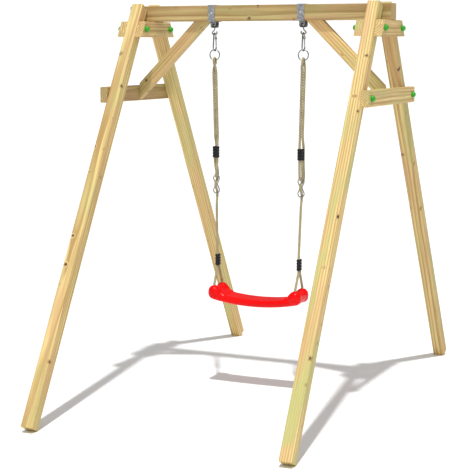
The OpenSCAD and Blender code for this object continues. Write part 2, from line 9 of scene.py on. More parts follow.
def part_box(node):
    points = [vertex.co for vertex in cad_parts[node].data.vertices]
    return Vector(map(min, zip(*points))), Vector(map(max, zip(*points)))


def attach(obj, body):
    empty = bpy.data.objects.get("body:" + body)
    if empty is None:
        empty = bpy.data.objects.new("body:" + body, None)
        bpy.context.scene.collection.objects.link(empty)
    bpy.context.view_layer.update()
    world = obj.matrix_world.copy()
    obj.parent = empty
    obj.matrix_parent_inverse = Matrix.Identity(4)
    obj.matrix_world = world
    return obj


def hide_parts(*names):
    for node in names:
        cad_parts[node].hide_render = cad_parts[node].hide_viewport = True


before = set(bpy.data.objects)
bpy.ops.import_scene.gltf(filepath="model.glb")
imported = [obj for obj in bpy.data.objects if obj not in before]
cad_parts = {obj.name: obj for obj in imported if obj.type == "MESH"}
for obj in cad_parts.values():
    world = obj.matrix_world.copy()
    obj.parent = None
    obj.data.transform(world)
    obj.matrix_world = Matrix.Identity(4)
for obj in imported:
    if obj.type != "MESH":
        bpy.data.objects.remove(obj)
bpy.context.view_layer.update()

# ---- Camera ----
# It stands in front of the swing's right half, a little under the beam's height.
# It looks slightly down, through a long lens.

camera_data = bpy.data.cameras.new("camera")
camera_data.sensor_width = 36
camera_data.lens = 104.75
camera_data.shift_y = -0.0957
camera = bpy.data.objects.new("camera", camera_data)
camera.location = (3.108, -7.233, 1.991)
camera.rotation_euler = (math.radians(84.07), 0, math.radians(24.23))
bpy.context.scene.collection.objects.link(camera)
bpy.context.scene.camera = camera

# ---- Ropes ----
# Two 16 mm ropes of twisted tan fibre, three strands each. Every rope hangs doubled from its ring,
# is hitched through the adjuster, and runs down through the seat's end and back up into the lower sleeve.

SIDES = {"left": -1, "right": 1}
rope_lay = 0.046
strand_d = 0.0094
strand_centre = 0.0033
route_step = 0.002



def middle(node):
    """The middle of a CAD node's box."""
    low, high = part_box(node)
    return (low + high) / 2


ring_wire = 0.007
ring_mid = middle("rope_ring_right")
ring_low = Vector((ring_mid.x, 0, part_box("rope_ring_right")[0].z + ring_wire / 2))
tube_low = Vector((0.266, -0.006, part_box("upper_sleeve_right")[0].z))
eight_top = Vector((0.266, 0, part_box("rope_adjuster_right")[1].z))
low_tube = Vector((0.257, 0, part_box("lower_sleeve_right")[0].z))
mouth = Vector((0.255, -0.056, 0.608))
channel = Vector((0.255, -0.056, 0.54007))


def along(origin, points):
    """Points of the rope's route, given in millimetres from the fitting that it runs through."""
    return [origin + Vector(p) / 1000 for p in points]


front_strand = (
    along(low_tube, [(0, -8.3, -2), (-0.2, -11, -15)])
    + along(mouth, [(0.4, 8.5, 20), (0.1, 3.4, 10), (0, 0.5, 1), (0, 0, -10)])
    + along(channel, [(0, 0, 6), (0, 1.2, 0), (0, 2.2, -4.4), (0, 5.1, -7.4), (0, 9.5, -8.5)])
)
rear_strand = [Vector((p.x, -p.y, p.z)) for p in reversed(front_strand)]
rope_route = (
    # From the folded end, round the adjuster's top wire and back up
    along(tube_low, [(8.3, 0, 58), (8.3, 0, 2)])
    + along(eight_top, [
        (8, -4, 75), (6, 6, 32), (4.5, 12.4, 11), (4, 12.4, -3.5), (3, 10.9, -9.8),
        (2, 6.3, -14.4), (0.5, 0, -16.1), (-1, -6.3, -14.4), (-2.5, -10.9, -9.8),
        (-3.5, -12.4, -3.5), (-4.5, -12.4, 10), (-6, -10, 35), (-8, -7, 70)])
    # Over the ring and down behind the sleeve
    + along(tube_low, [(-8.3, 0, 2), (-8.3, 0, 64), (-8.3, 6, 130)])
    + along(ring_low, [
        (-8.3, 0, -66), (-6.5, -8, -36), (0, -12.2, -13), (0, -12.2, 0), (0, -10.6, 6.1),
        (0, -6.1, 10.6), (0, 0, 12.2), (0, 6.1, 10.6), (0, 10.6, 6.1), (0, 12.2, 0),
        (0, 12.2, -13), (6.5, 8, -36), (8.3, 0, -66)])
    + along(tube_low, [(8.3, 6, 130), (8, 22.5, 74), (8, 22.5, -4)])
    # Through the adjuster, down to the seat and back into the lower sleeve
    + along(eight_top, [
        (7, 19, 62), (5.5, 29, 15), (5, 29.4, -3.5), (4, 27.6, -13.6), (3, 22.5, -22.4),
        (1.5, 14.7, -29), (0.5, 5, -34), (0, -1.5, -39), (0, -7.5, -45), (0.3, -11.5, -51),
        (0.5, -12.3, -58), (0.5, -11.3, -65), (1, -5, -76), (1, 5, -90), (0.7, 11.2, -101),
        (0.3, 12.3, -112), (0, 11.4, -124), (-0.5, 7, -142), (-1, 2, -168), (-1.5, 0, -198)])
    + along(low_tube, [(0, -8.3, 76)]) + front_strand + rear_strand
    + along(low_tube, [(0, 8.3, 61)])
)


def eased(corners, step, passes, closed=False):
    """Even steps along the lines between the corners, with each corner eased by its neighbours."""
    ends = corners[1:] + (corners[:1] if closed else [])
    points = []
    for a, b in zip(corners, ends):
        count = max(1, round((b - a).length / step))
        points += [a.lerp(b, i / count) for i in range(count)]
    if not closed:
        points.append(corners[-1])
    spots = np.array(points)
    for _ in range(passes):
        mean = (np.roll(spots, 1, 0) + 2 * spots + np.roll(spots, -1, 0)) / 4
        if not closed:
            mean[0], mean[-1] = spots[0], spots[-1]
        spots = mean
    return [Vector(p) for p in spots]


def bar(points, section, closed=False, lay=None):
    """A bmesh of a bar along the points. Its section is a diameter, or with a lay an outline that
    turns once every lay."""
    curve = bpy.data.curves.new("bar", "CURVE")
    curve.dimensions = "3D"
    curve.use_fill_caps = True
    if lay:
        curve.bevel_mode = "OBJECT"
        curve.bevel_object = section
    else:
        curve.bevel_depth = section / 2
        curve.bevel_resolution = 5
    spline = curve.splines.new("POLY")
    spline.points.add(len(points) - 1)
    spline.use_cyclic_u = closed
    run = 0
    for i, p in enumerate(points):
        run += (p - points[i - 1]).length if i else 0
        spline.points[i].co = (*p, 1)
        if lay:
            spline.points[i].tilt = 2 * math.pi * run / lay
    holder = bpy.data.objects.new("bar", curve)
    bpy.context.scene.collection.objects.link(holder)
    bpy.context.view_layer.update()
    mesh = bpy.data.meshes.new_from_object(holder.evaluated_get(bpy.context.evaluated_depsgraph_get()))
    made = bmesh.new()
    made.from_mesh(mesh)
    bpy.data.objects.remove(holder)
    bpy.data.curves.remove(curve)
    bpy.data.meshes.remove(mesh)
    return made


def piece(name, shape, material, body, stands_for, crease=40):
    """Makes a bmesh a finished piece that rides on a body and stands for some CAD nodes."""
    bmesh.ops.remove_doubles(shape, verts=shape.verts, dist=1e-6)
    bmesh.ops.recalc_face_normals(shape, faces=shape.faces)
    mesh = bpy.data.meshes.new(name)
    shape.to_mesh(mesh)
    shape.free()
    mesh.polygons.foreach_set("use_smooth", [True] * len(mesh.polygons))
    mesh.set_sharp_from_angle(angle=math.radians(crease))
    mesh.materials.append(material)
    made = bpy.data.objects.new(name, mesh)
    bpy.context.scene.collection.objects.link(made)
    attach(made, body)
    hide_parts(*stands_for)
    return made


class Value:
    """A socket in a material. Arithmetic on values adds the Math nodes that it needs."""

    def __init__(self, tree, socket=None):
        self.tree, self.socket = tree, socket

    def node(self, kind, settings=None, values=None, output=0):
        made = self.tree.nodes.new(kind)
        for name, setting in (settings or {}).items():
            setattr(made, name, setting)
        for place, value in (values or {}).items():
            if isinstance(value, Value):
                self.tree.links.new(value.socket, made.inputs[place])
            else:
                made.inputs[place].default_value = value
        return Value(self.tree, made.outputs[output])

    def math(self, operation, *values):
        return self.node("ShaderNodeMath", {"operation": operation}, dict(enumerate(values)))

    def vector(self, operation, *values, output=0):
        return self.node("ShaderNodeVectorMath", {"operation": operation}, dict(enumerate(values)), output)

    def step(self, low, high):
        """A smooth step from 0 at low to 1 at high."""
        return self.node("ShaderNodeMapRange", {"interpolation_type": "SMOOTHSTEP"},
                         {"Value": self, "From Min": low, "From Max": high})

    def mixed(self, first, second):
        """The first colour where this value is 0, and the second where it is 1."""
        return self.node("ShaderNodeMix", {"data_type": "RGBA"}, {0: self, 6: first, 7: second}, 2)

    def __add__(self, other):
        return self.math("ADD", self, other)

    def __sub__(self, other):
        return self.math("SUBTRACT", self, other)

    def __rsub__(self, other):
        return self.math("SUBTRACT", other, self)

    def __mul__(self, other):
        return self.math("MULTIPLY", self, other)

    __radd__, __rmul__ = __add__, __mul__


def finish(name, **constants):
    """A new material with these constants on its shader's sockets."""
    material = bpy.data.materials.new(name)
    material.use_nodes = True
    shader = material.node_tree.nodes["Principled BSDF"]
    for socket, value in constants.items():
        shader.inputs[socket.replace("_", " ").title().replace("Ior", "IOR")].default_value = value
    return material


def where(material):
    """The place on a piece, to build the material's nodes from."""
    return Value(material.node_tree).node("ShaderNodeTexCoord", output="Object")


def feed(material, **values):
    """Links values to the sockets of the material's shader."""
    shader = material.node_tree.nodes["Principled BSDF"]
    for socket, value in values.items():
        material.node_tree.links.new(value.socket, shader.inputs[socket.replace("_", " ").title()])


def rgb(red, green, blue):
    return (red, green, blue, 1)


def noise(at, scale, detail=2.0, stretch=None):
    """Noise at a place, from 0 to 1, stretched where the place is multiplied."""
    if stretch:
        at = at.vector("MULTIPLY", at, stretch)
    return at.node("ShaderNodeTexNoise", None, {"Vector": at, "Scale": scale, "Detail": detail})


def bump(height, depth):
    """A normal from a height of 0 to 1 that stands for a real depth in metres."""
    return height.node("ShaderNodeBump", None, {"Height": height, "Distance": depth, "Strength": 1.0})


fibre = finish("twisted_fibre", roughness=0.85, sheen_weight=0.2)
spot = where(fibre)
dirt = noise(spot, 22, 3)
hairs = noise(spot, 900, 2, (1, 1, 0.35))
shade = dirt.step(0.3, 0.7).mixed(rgb(0.34, 0.285, 0.15), rgb(0.45, 0.385, 0.22))
shade = (hairs.step(0.25, 0.6) * 0.55 + 0.45).mixed(rgb(0.14, 0.11, 0.055), shade)
feed(fibre, base_color=shade, normal=bump(hairs, 0.0006))

# The section of three strands that press against each other
section_points = 24
section_curve = bpy.data.curves.new("section", "CURVE")
section_line = section_curve.splines.new("POLY")
section_line.points.add(section_points - 1)
section_line.use_cyclic_u = True
for i, point in enumerate(section_line.points):
    turn = 2 * math.pi * i / section_points
    off = abs((turn + math.pi / 3) % (2 * math.pi / 3) - math.pi / 3)
    edge = strand_centre * math.cos(off)
    edge += math.sqrt((strand_d / 2) ** 2 - (strand_centre * math.sin(off)) ** 2)
    point.co = (edge * math.cos(turn), edge * math.sin(turn), 0, 1)
section = bpy.data.objects.new("section", section_curve)
bpy.context.scene.collection.objects.link(section)
for side, sign in SIDES.items():
    route = eased([Vector((p.x * sign, p.y, p.z)) for p in rope_route], route_step, 6)
    shape = bar(route, section, lay=rope_lay)
    piece(f"rope_look_{side}", shape, fibre, "swing", [f"rope_{side}"], crease=75)
bpy.data.objects.remove(section)

# ---- Timbers ----
# Planed, pressure-treated pine with rounded long edges: 70 mm square legs, a 90 mm square beam,
# and ties and braces of 45 mm board. The treatment leaves a green cast, and knots show on every face.

pine_light = rgb(0.72, 0.555, 0.235)
pine_ring = rgb(0.36, 0.21, 0.062)
pine_green = rgb(0.42, 0.42, 0.15)
pine_heart = rgb(0.56, 0.335, 0.155)
pine_knot = rgb(0.040, 0.018, 0.008)
pine_halo = rgb(0.22, 0.105, 0.03)
rings_per_metre = 78
leg_lean = math.radians(29.5)
brace_lean = math.radians(45.1)
quarter = math.pi / 2


def coat(material, *nodes):
    """Gives CAD nodes a material."""
    for node in nodes:
        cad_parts[node].data.materials.clear()
        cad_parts[node].data.materials.append(material)


def pine(node, turn, pith, seed, green, tone_and_painted_light):
    """Pine whose grain runs along the timber, turned to its line. The rings lie round a pith beside its
    middle. The seed shifts every pattern, green is the treatment's share, and the last argument scales
    the colour: partly the board's own brightness, partly painted light and shade on that timber."""
    wood = finish(f"pine_{node}", roughness=0.6)
    place = where(wood)
    place = place.node("ShaderNodeMapping", {"vector_type": "TEXTURE"},
                       {"Vector": place, "Location": middle(node), "Rotation": turn})
    place = place.vector("ADD", place, (*pith, seed))
    across = place.vector("MULTIPLY", place, (1, 1, 0))
    radius = across.vector("LENGTH", across, output="Value")
    # A knot is a branch that runs straight out from the pith. Few of the cells hold one
    pith_to_face = math.hypot(*pith) + 0.04
    outward = across.vector("NORMALIZE", across)
    upward = place.vector("MULTIPLY", place, (0, 0, 1 / pith_to_face))
    cell = {"Vector": place.vector("ADD", outward, upward), "Scale": 1.5, "Randomness": 0.95}
    away = place.node("ShaderNodeTexVoronoi", None, cell)
    chance = place.node("ShaderNodeTexVoronoi", None, cell, "Color")
    chance = place.node("ShaderNodeSeparateColor", None, {"Color": chance})
    chosen = chance.step(0.70, 0.71)
    away = away + (1 - chance) * 0.22
    knot = (1 - away.step(0.105, 0.15)) * chosen
    halo = (1 - away.step(0.12, 0.30)) * chosen
    swirl = (1 - away.step(0.05, 0.34)) * chosen
    # Each ring darkens slowly and ends at once
    wave = noise(place, 3.2, 3, (1, 1, 0.16))
    ring = (radius + wave * 0.06 + swirl * 0.014) * rings_per_metre
    ring = ring.math("FRACT", ring)
    late = ring.step(0.35, 0.9) * (1 - ring.step(0.92, 1.0))
    fibres = noise(place, 260, 3, (1, 1, 0.02))
    streaks = noise(place, 60, 3, (1, 1, 0.03))
    patches = noise(place, 5, 3, (2.2, 2.2, 0.5))
    heart = noise(place, 9, 3, (2.0, 2.0, 0.25))
    colour = (late * 0.85).mixed(pine_light, pine_ring)
    colour = (streaks.step(0.35, 0.7) * 0.55).mixed(colour, pine_ring)
    colour = (heart.step(0.48, 0.62) * 0.55).mixed(colour, pine_heart)
    colour = (patches.step(0.45, 0.62) * green).mixed(colour, pine_green)
    colour = (halo * 0.7).mixed(colour, pine_halo)
    colour = (knot * (0.9 + 0.1 * fibres)).mixed(colour, pine_knot)
    colour = ((1 - fibres.step(0.25, 0.5)) * 0.3).mixed(colour, pine_ring)
    # Scales the timber's colour: partly its own brightness, partly painted light and shade
    colour = colour.node("ShaderNodeVectorMath", {"operation": "SCALE"}, {0: colour, "Scale": tone_and_painted_light})
    height = fibres * 0.4 + (1 - late) * 0.4 + knot * 0.3
    feed(wood, base_color=colour, roughness=0.5 + fibres * 0.25, normal=bump(height, 0.0005))
    coat(wood, node)


# Each row: node, turn, pith, seed, green share, and a colour scale that is partly the board's own brightness
# and partly painted light and shade
for timber in [
    ("front_leg_left", (-leg_lean, 0, 0), (0.012, -0.052), 1.3, 0.35, 1.08),
    ("front_leg_right", (-leg_lean, 0, 0), (-0.055, 0.010), 4.1, 0.8, 1.14),
    ("rear_leg_left", (leg_lean, 0, 0), (0.030, 0.045), 7.7, 0.5, 1.12),
    ("rear_leg_right", (leg_lean, 0, 0), (-0.042, -0.030), 11.2, 0.6, 1.0),
    ("swing_beam", (0, quarter, 0), (0.020, -0.060), 15.9, 0.35, 0.8),
    ("top_tie_outer_left", (quarter, 0, 0), (0.060, 0.020), 19.4, 0.4, 0.95),
    ("top_tie_inner_left", (quarter, 0, 0), (-0.050, 0.030), 23.8, 0.25, 0.95),
    ("top_tie_outer_right", (quarter, 0, 0), (0.045, -0.035), 27.1, 0.5, 1.0),
    ("top_tie_inner_right", (quarter, 0, 0), (-0.060, -0.010), 31.6, 0.4, 1.0),
    ("low_tie_left", (quarter, 0, 0), (0.070, 0.015), 35.2, 0.3, 0.76),
    ("low_tie_right", (quarter, 0, 0), (0.050, 0.055), 39.9, 0.5, 1.08),
    ("brace_left", (0, brace_lean, 0), (0.010, 0.050), 43.3, 0.35, 0.93),
    ("brace_right", (0, -brace_lean, 0), (0.025, -0.048), 47.6, 0.45, 1.22),
]:
    pine(*timber)

# ---- Bolt caps ----
# Glossy green moulded caps. A base ring under each bolt head snaps into a dome that hides the head.

cap_base_r = 0.018
cap_dome_r = 0.0165
cap_dome_low = 0.007
cap_top = 0.022
nut_half = 0.0085

cap_green = finish("green_moulding", roughness=0.34, coat_weight=0.12)
spot = where(cap_green)
cloud = noise(spot, 90, 3)
shade = cloud.step(0.3, 0.7).mixed(rgb(0.014, 0.28, 0.003), rgb(0.026, 0.40, 0.006))
feed(cap_green, base_color=shade, roughness=0.30 + cloud * 0.16,
     normal=bump(noise(spot, 700, 2), 0.00008))

outer_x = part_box("top_tie_outer_right")[1].x
inner_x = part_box("top_tie_inner_right")[0].x
bolt_z = middle("top_tie_outer_right").z
screw_z = middle("low_tie_right").z
bolt_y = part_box("frame_nuts")[1].y - nut_half
screw_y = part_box("cap_bases")[1].y - cap_base_r

dome = [(cap_dome_r * math.cos(a), cap_dome_low + (cap_top - cap_dome_low) * math.sin(a))
        for a in [math.radians(d) for d in range(0, 91, 10)]]
# The line that is spun round each bolt, as radius and height
cap_line = [(0, 0), (cap_base_r - 0.0006, 0), (cap_base_r, 0.0006), (cap_base_r, 0.0020),
            (cap_base_r - 0.0012, 0.0038), (cap_dome_r - 0.0008, 0.0041), (cap_dome_r - 0.0008, 0.0047),
            (cap_dome_r, 0.0054)] + dome
caps = bmesh.new()
places = [(outer_x, bolt_y, bolt_z, 1), (inner_x, bolt_y, bolt_z, -1), (outer_x, screw_y, screw_z, 1)]
for x, y, z, out in places:
    for side in SIDES.values():
        for back in (-1, 1):
            line = [caps.verts.new((side * (x + out * height), back * y, z + r)) for r, height in cap_line]
            edges = [caps.edges.new(pair) for pair in zip(line, line[1:])]
            bmesh.ops.spin(caps, geom=line + edges, cent=(side * x, back * y, z), axis=(1, 0, 0),
                           angle=2 * math.pi, steps=36, use_merge=True)
piece("bolt_caps_look", caps, cap_green, "stand", ["bolt_caps", "cap_bases"], crease=50)

# ---- Bolts, screws and straps ----
# Galvanised steel: M10 bolts and coach screws, wood screws in the braces, and a band over the beam
# at each hanger, held by a pan-head screw whose drive hollow is a dark disc of painted shade at front and
# back.

painted_recess_r = 0.0018

zinc = finish("galvanised_steel", roughness=0.45, metallic=0.75)
spot = where(zinc)
spangle = spot.node("ShaderNodeTexVoronoi", None, {"Vector": spot, "Scale": 110.0}, "Color")
spangle = spot.node("ShaderNodeSeparateColor", None, {"Color": spangle})
bloom = noise(spot, 70, 4)
shade = (spangle * 0.5 + bloom * 0.5).mixed(rgb(0.20, 0.205, 0.215), rgb(0.52, 0.53, 0.545))
feed(zinc, base_color=shade, roughness=0.38 + spangle * 0.16, normal=bump(bloom, 0.0002))
coat(zinc, "frame_bolts", "frame_nuts", "coach_screws", "brace_screws")
for side, sign in SIDES.items():
    coat(zinc, f"hanger_strap_{side}")
    screw = finish(f"strap_screw_{side}", roughness=0.35, metallic=0.6)
    spot = where(screw)
    spot = spot.vector("SUBTRACT", spot, middle(f"strap_screws_{side}"))
    across = spot.vector("MULTIPLY", spot, (1, 0, 1))
    radius = across.vector("LENGTH", across, output="Value")
    plating = noise(spot, 400, 3)
    shade = plating.mixed(rgb(0.62, 0.62, 0.60), rgb(0.80, 0.80, 0.78))
    # The drive hollow's darkness is painted shade: a dark disc on the head, front and back
    recess_shade = 1 - radius.step(painted_recess_r, painted_recess_r + 0.0006)
    shade = recess_shade.mixed(shade, rgb(0.03, 0.03, 0.03))
    feed(screw, base_color=shade, roughness=0.3 + plating * 0.2, normal=bump(plating, 0.0001))
    coat(screw, f"strap_screws_{side}")

# ---- Hanger saddles and bearings ----
# Under each strap a slotted steel saddle, darker than the band, grips a black nylon block by two rivets.
# A headed pin with a push-on clip runs through the block and carries the hook's eye.

dull_steel = finish("dull_steel", roughness=0.42, metallic=0.85)
rolled = noise(where(dull_steel), 260, 3, (0.2, 1, 1))
shade = rolled.step(0.3, 0.7).mixed(rgb(0.20, 0.205, 0.21), rgb(0.34, 0.345, 0.35))
feed(dull_steel, base_color=shade, roughness=0.36 + rolled * 0.16, normal=bump(rolled, 0.0001))
nylon = finish("black_nylon", roughness=0.45)
grained = noise(where(nylon), 1200, 3)
shade = grained.mixed(rgb(0.012, 0.012, 0.013), rgb(0.030, 0.030, 0.032))
feed(nylon, base_color=shade, roughness=0.40 + grained * 0.2, normal=bump(grained, 0.0002))
for side in SIDES:
    coat(dull_steel, f"hanger_saddle_{side}", f"saddle_rivets_{side}")
    coat(dull_steel, f"pivot_pin_{side}", f"pin_clip_{side}")
    coat(nylon, f"bearing_block_{side}")

# ---- Hooks ----
# A bent 8 mm wire under each bearing. It has an eye on the pin, a stem, and a triangle that takes
# the snap hook. The triangle's tip stays open towards the beam's middle.

hook_wire = 0.008
eye_half = 0.005
eye_bore_r = 0.00505
eye_r = 0.010
eye_bevel = 0.0008
pivot = Vector((ring_low.x, 0, middle("pivot_pin_right").z))

bright = finish("bright_steel", roughness=0.25, metallic=1.0)
drawn = noise(where(bright), 350, 3, (1, 1, 0.15))
shade = drawn.step(0.3, 0.7).mixed(rgb(0.26, 0.26, 0.255), rgb(0.46, 0.46, 0.45))
feed(bright, base_color=shade, roughness=0.22 + drawn * 0.16, normal=bump(drawn, 0.00008))


def rounded_tip(shape, tip, along_end, radius):
    """Draws the flat end of a bar out into a dome."""
    bmesh.ops.remove_doubles(shape, verts=shape.verts, dist=1e-6)
    ends = {v for v in shape.verts if (v.co - tip).length < radius * 1.01}
    flat = [f for f in shape.faces if ends.issuperset(f.verts)]
    bmesh.ops.inset_region(shape, faces=flat, thickness=radius * 0.3, depth=0)
    bmesh.ops.translate(shape, verts=list({v for f in flat for v in f.verts}), vec=along_end * radius * 0.45)


for side, sign in SIDES.items():
    outline = [
        (0, -9), (0, -25.5), (1.8, -29), (9.5, -36.8), (13.8, -41), (15.6, -44), (15.4, -47.5),
        (13, -50.8), (8.5, -53.4), (4, -54), (-4, -54), (-8.5, -53.4), (-13, -50.5),
        (-15, -46), (-14.5, -41.5), (-12.5, -38)]
    corners = [Vector((sign * (pivot.x + x / 1000), 0, pivot.z + z / 1000)) for x, z in outline]
    points = eased(corners, 0.0012, 4)
    shape = bar(points, hook_wire)
    rounded_tip(shape, points[-1], (points[-1] - points[-2]).normalized(), hook_wire / 2)
    square = [shape.verts.new((sign * pivot.x + x, 0, pivot.z + r)) for x, r in [
        (-eye_half, eye_bore_r), (eye_half, eye_bore_r), (eye_half, eye_r - eye_bevel),
        (eye_half - eye_bevel, eye_r), (eye_bevel - eye_half, eye_r), (-eye_half, eye_r - eye_bevel)]]
    edges = [shape.edges.new(pair) for pair in zip(square, square[1:] + square[:1])]
    bmesh.ops.spin(shape, geom=square + edges, cent=(sign * pivot.x, 0, pivot.z), axis=(1, 0, 0),
                   angle=2 * math.pi, steps=32, use_merge=True)
    piece(f"swing_hook_look_{side}", shape, bright, "swing", [f"swing_hook_{side}"])

# ---- Snap hooks ----
# Pear-shaped steel hooks that join hook and ring. The wire starts in two ears that hold the gate's pin,
# and a sprung gate closes on the wire's nose.

snap_wire = 0.008
small_r = 0.013
wide_r = 0.020
small_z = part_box("snap_hook_right")[1].z - snap_wire / 2 - small_r
wide_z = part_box("snap_hook_right")[0].z + snap_wire / 2 + wide_r
nose_y = 0.0193
nose_z = 2.0004
ear_x = 0.00415
ear_r = 0.0055
ear_t = 0.0027
neck_size = (0.0025, 0.0078, 0.012)
gate_pin = middle("gate_pin_right")


def arc(x, radius, height, first, last):
    """Points of an arc of the snap hook's wire, between two angles in degrees."""
    turns = [math.radians(d) for d in range(first, last + 1, 15)]
    return [Vector((x, radius * math.cos(t), height + radius * math.sin(t))) for t in turns]


for side, sign in SIDES.items():
    x = sign * pivot.x
    above_pin = Vector((x, small_r + (gate_pin.y - small_r) * 0.55, gate_pin.z + 0.0085))
    bow = arc(x, small_r, small_z, 0, 180) + arc(x, wide_r, wide_z, 180, 360)
    points = eased([above_pin] + bow + [Vector((x, nose_y, nose_z))], 0.0015, 3)
    shape = bar(points, snap_wire)
    for cheek in (-1, 1):
        ear = Matrix.Translation((x + cheek * ear_x, gate_pin.y, gate_pin.z))
        bmesh.ops.create_cone(shape, cap_ends=True, segments=28, radius1=ear_r, radius2=ear_r, depth=ear_t,
                              matrix=ear @ Matrix.Rotation(math.pi / 2, 4, "Y"))
        bmesh.ops.create_cube(shape, size=1, matrix=ear @ Matrix.Translation((0, -0.0005, neck_size[2] / 2))
                              @ Matrix.Diagonal((*neck_size, 1)))
    piece(f"snap_hook_look_{side}", shape, bright, "swing", [f"snap_hook_{side}"])
    coat(bright, f"gate_pin_{side}", f"snap_gate_{side}")

# ---- Rings ----
# A welded ring of 7 mm bright steel wire on each side. It hangs in the snap hook and takes
# the rope's bight.

ring_r = ring_mid.z - ring_low.z
for side, sign in SIDES.items():
    centre = Vector((sign * ring_mid.x, 0, ring_mid.z))
    shape = bmesh.new()
    hoop = bmesh.ops.create_circle(shape, segments=20, radius=ring_wire / 2,
                                   matrix=Matrix.Translation(centre + Vector((ring_r, 0, 0))))
    bmesh.ops.spin(shape, geom=hoop["verts"] + list(shape.edges), cent=centre, axis=(0, 1, 0),
                   angle=2 * math.pi, steps=80, use_merge=True)
    piece(f"rope_ring_look_{side}", shape, bright, "swing", [f"rope_ring_{side}"])

# ---- Rope adjusters ----
# A flat figure of eight in 7 mm steel wire hangs in each rope. The rope's hitch through it
# sets the seat's height.

adjuster_wire = 0.007
adjuster_low, adjuster_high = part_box("rope_adjuster_right")
adjuster_mid = middle("rope_adjuster_right")
adjuster_r = (adjuster_high.x - adjuster_low.x - adjuster_wire) / 2
adjuster_up = (adjuster_high.z - adjuster_low.z - adjuster_wire) / 2 - adjuster_r
waist = adjuster_wire * 0.62
for side, sign in SIDES.items():
    upper = [(adjuster_r * math.cos(a), adjuster_up + adjuster_r * math.sin(a))
             for a in [math.radians(d) for d in range(-20, 201, 10)]]
    lower = [(-x, -z) for x, z in upper]
    loop = ([(waist, 0), (waist + 0.004, 0.007)] + upper + [(-waist - 0.004, 0.007), (-waist, 0),
            (-waist - 0.004, -0.007)] + lower + [(waist + 0.004, -0.007)])
    corners = [Vector((sign * (adjuster_mid.x + x), 0, adjuster_mid.z + z)) for x, z in loop]
    shape = bar(eased(corners, 0.0012, 4, closed=True), adjuster_wire, closed=True)
    piece(f"rope_adjuster_look_{side}", shape, bright, "swing", [f"rope_adjuster_{side}"])

# ---- Sleeves ----
# Two black plastic sleeves with four rounded ribs on each rope, above the adjuster and above the seat.
# Each holds two strands of the rope side by side.

sleeve_len = 0.066
sleeve_r = 0.013
sleeve_rib = 0.0025
sleeve_ribs = 4
bore_r = 0.0082
strand_half = 0.0083

sleeve_black = finish("black_sleeve", roughness=0.4, specular_ior_level=0.3)
worn = noise(where(sleeve_black), 500, 3)
shade = worn.mixed(rgb(0.003, 0.003, 0.0035), rgb(0.010, 0.010, 0.011))
feed(sleeve_black, base_color=shade, roughness=0.36 + worn * 0.2, normal=bump(worn, 0.0002))


def sleeve_outline(shape, radius, reach, height):
    """One line round the two strands. Reach is how far it follows each strand, in degrees."""
    turns = [math.radians(reach * k / 10) for k in range(-10, 11)]
    half = [(strand_half + radius * math.cos(t), radius * math.sin(t)) for t in turns]
    return [shape.verts.new((x, y, height)) for x, y in half + [(-x, -y) for x, y in half]]


# One rib as shares of its length and of its height
rib_line = [(0.02, 0.0), (0.13, 0.05), (0.20, 0.5), (0.27, 0.85), (0.38, 1.0),
            (0.62, 1.0), (0.73, 0.85), (0.80, 0.5), (0.87, 0.05), (0.98, 0.0)]
groove_r = sleeve_r - sleeve_rib
outer_reach = 90
bore_reach = 162
sleeve_lines = [(bore_r + 0.0006, bore_reach, 0), (groove_r - 0.0008, outer_reach, 0)]
sleeve_lines += [(sleeve_r - sleeve_rib * (1 - height), outer_reach, sleeve_len * (k + share) / sleeve_ribs)
                 for k in range(sleeve_ribs) for share, height in rib_line]
sleeve_lines += [(groove_r - 0.0008, outer_reach, sleeve_len), (bore_r + 0.0006, bore_reach, sleeve_len),
                 (bore_r, bore_reach, sleeve_len - 0.001), (bore_r, bore_reach, 0.001)]
for side, sign in SIDES.items():
    for place, foot, turn in [("upper", tube_low, 0), ("lower", low_tube, math.pi / 2)]:
        shape = bmesh.new()
        outlines = [sleeve_outline(shape, *line) for line in sleeve_lines]
        for lower, upper in zip(outlines, outlines[1:] + outlines[:1]):
            for k in range(len(lower)):
                shape.faces.new((lower[k - 1], lower[k], upper[k], upper[k - 1]))
        upright = Matrix.Translation((sign * foot.x, foot.y, foot.z)) @ Matrix.Rotation(turn, 4, "Z")
        bmesh.ops.transform(shape, matrix=upright, verts=shape.verts)
        piece(f"{place}_sleeve_look_{side}", shape, sleeve_black, "swing",
              [f"{place}_sleeve_{side}"], crease=50)

# ---- Seat ----
# One glossy red blow moulding: a curved board with a thick roll front and back, and raised ends.
# Each end has two lobes with a rope hole, and a channel under it where the rope passes across.

seat_x = 0.255
seat_low = 0.497
seat_bend = 1.260
board_half_y = 0.084
seat_t = 0.043
lobe_r = 0.036
hole_y = 0.056
seat_top = 0.608
hole_d = 0.019
lobe_low = seat_low + seat_bend - math.sqrt(seat_bend ** 2 - seat_x ** 2) + lobe_r

seat_red = finish("red_moulding", roughness=0.3, specular_ior_level=0.16)
spot = where(seat_red)
flow = noise(spot, 8, 3)
scuffs = noise(spot, 55, 4, (0.35, 1, 1))
shade = flow.step(0.25, 0.75).mixed(rgb(0.70, 0.001, 0.002), rgb(0.84, 0.002, 0.003))
feed(seat_red, base_color=shade, roughness=0.30 + scuffs.step(0.45, 0.8) * 0.12,
     normal=bump(noise(spot, 60, 2), 0.0001))

